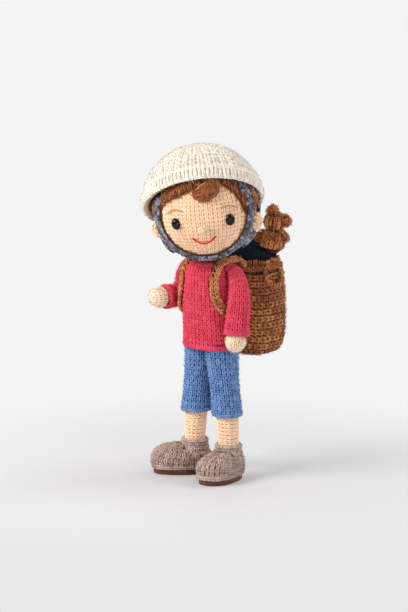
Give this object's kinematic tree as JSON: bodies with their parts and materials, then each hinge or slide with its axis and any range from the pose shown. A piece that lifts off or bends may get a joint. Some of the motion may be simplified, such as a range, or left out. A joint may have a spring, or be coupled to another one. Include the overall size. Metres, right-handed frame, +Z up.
{
  "type": "crocheted doll",
  "caption": "Standing crocheted hiker doll with helmet, chin straps and backpack that holds a folded blanket and a small bear; head and arms turn.",
  "frame": {"origin": "on the floor, in the middle of the footprint of the whole doll and its backpack", "axes": "+Z up, the body faces -Y, and the doll's left hand is at +X"},
  "size_m": [0.0896, 0.1058, 0.246],
  "materials": {
    "crimson_yarn": "crocheted wool, fine stitches",
    "blue_yarn": "crocheted wool, slightly fuzzy",
    "skin_yarn": "crocheted cotton, fine stitches",
    "wire_steel": "plain drawn wire",
    "shoe_yarn": "chunky crocheted wool",
    "sole_leather": "smooth dark reddish brown",
    "post_wood": "plain dowel",
    "eye_plastic": "polished black",
    "washer_plastic": "moulded",
    "brow_thread": "embroidery thread",
    "smile_thread": "embroidery thread",
    "hair_yarn": "brushed and felted wool",
    "cream_yarn": "thick crocheted wool",
    "grey_yarn": "crocheted wool cord",
    "bag_yarn": "thick ribbed crochet",
    "strap_yarn": "chain crochet band",
    "teal_yarn": "knitted wool",
    "bear_yarn": "fuzzy crocheted wool"
  },
  "bodies": {
    "body": {"torso": "crimson_yarn", "pants_leg_left": "blue_yarn", "pants_leg_right": "blue_yarn", "leg_left": "skin_yarn", "leg_right": "skin_yarn", "leg_wire_left": "wire_steel", "leg_wire_right": "wire_steel", "shoe_left": "shoe_yarn", "shoe_right": "shoe_yarn", "sole_left": "sole_leather", "sole_right": "sole_leather", "neck_post": "post_wood", "shoulder_wire": "wire_steel", "bag": "bag_yarn", "bag_neck_chain": "strap_yarn", "bag_strap_left": "strap_yarn", "bag_strap_right": "strap_yarn"},
    "head": {"head": "skin_yarn", "nose": "skin_yarn", "ear_left": "skin_yarn", "ear_right": "skin_yarn", "eye_left": "eye_plastic", "eye_right": "eye_plastic", "eye_washer_left": "washer_plastic", "eye_washer_right": "washer_plastic", "eyebrow_left": "brow_thread", "eyebrow_right": "brow_thread", "smile": "smile_thread", "hair": "hair_yarn", "hair_fringe": "hair_yarn", "helmet": "cream_yarn", "chin_strap": "grey_yarn", "rear_strap_left": "grey_yarn", "rear_strap_right": "grey_yarn"},
    "arm_left": {"sleeve_left": "crimson_yarn", "hand_left": "skin_yarn"},
    "arm_right": {"sleeve_right": "crimson_yarn", "hand_right": "skin_yarn"},
    "blanket": {"blanket": "teal_yarn"},
    "bear": {"bear_body": "bear_yarn", "bear_head": "bear_yarn", "bear_ear_left": "bear_yarn", "bear_ear_right": "bear_yarn", "bear_muzzle": "bear_yarn", "bear_arm_left": "bear_yarn", "bear_arm_right": "bear_yarn"}
  },
  "joints": [
    {"name": "head_turn", "type": "hinge", "parent": "body", "child": "head", "pos_m": [0.00204, -0.01317, 0.2], "axis": [0, 0, 1], "range_deg": [-96, 24]},
    {"name": "shoulder_left", "type": "hinge", "parent": "body", "child": "arm_left", "pos_m": [0.00204, -0.00617, 0.154], "axis": [-1, 0, 0], "range_deg": [-15, 90]},
    {"name": "shoulder_right", "type": "hinge", "parent": "body", "child": "arm_right", "pos_m": [0.00204, -0.00617, 0.154], "axis": [-1, 0, 0], "range_deg": [-8, 60]},
    {"name": "blanket_pull", "type": "slide", "parent": "body", "child": "blanket", "axis": [0, 0.766, 0.6428], "range_m": [0, 0.03]},
    {"name": "bear_lift", "type": "slide", "parent": "blanket", "child": "bear", "axis": [0.1, 0.1, 0.9899], "range_m": [0, 0.02]}
  ]
}
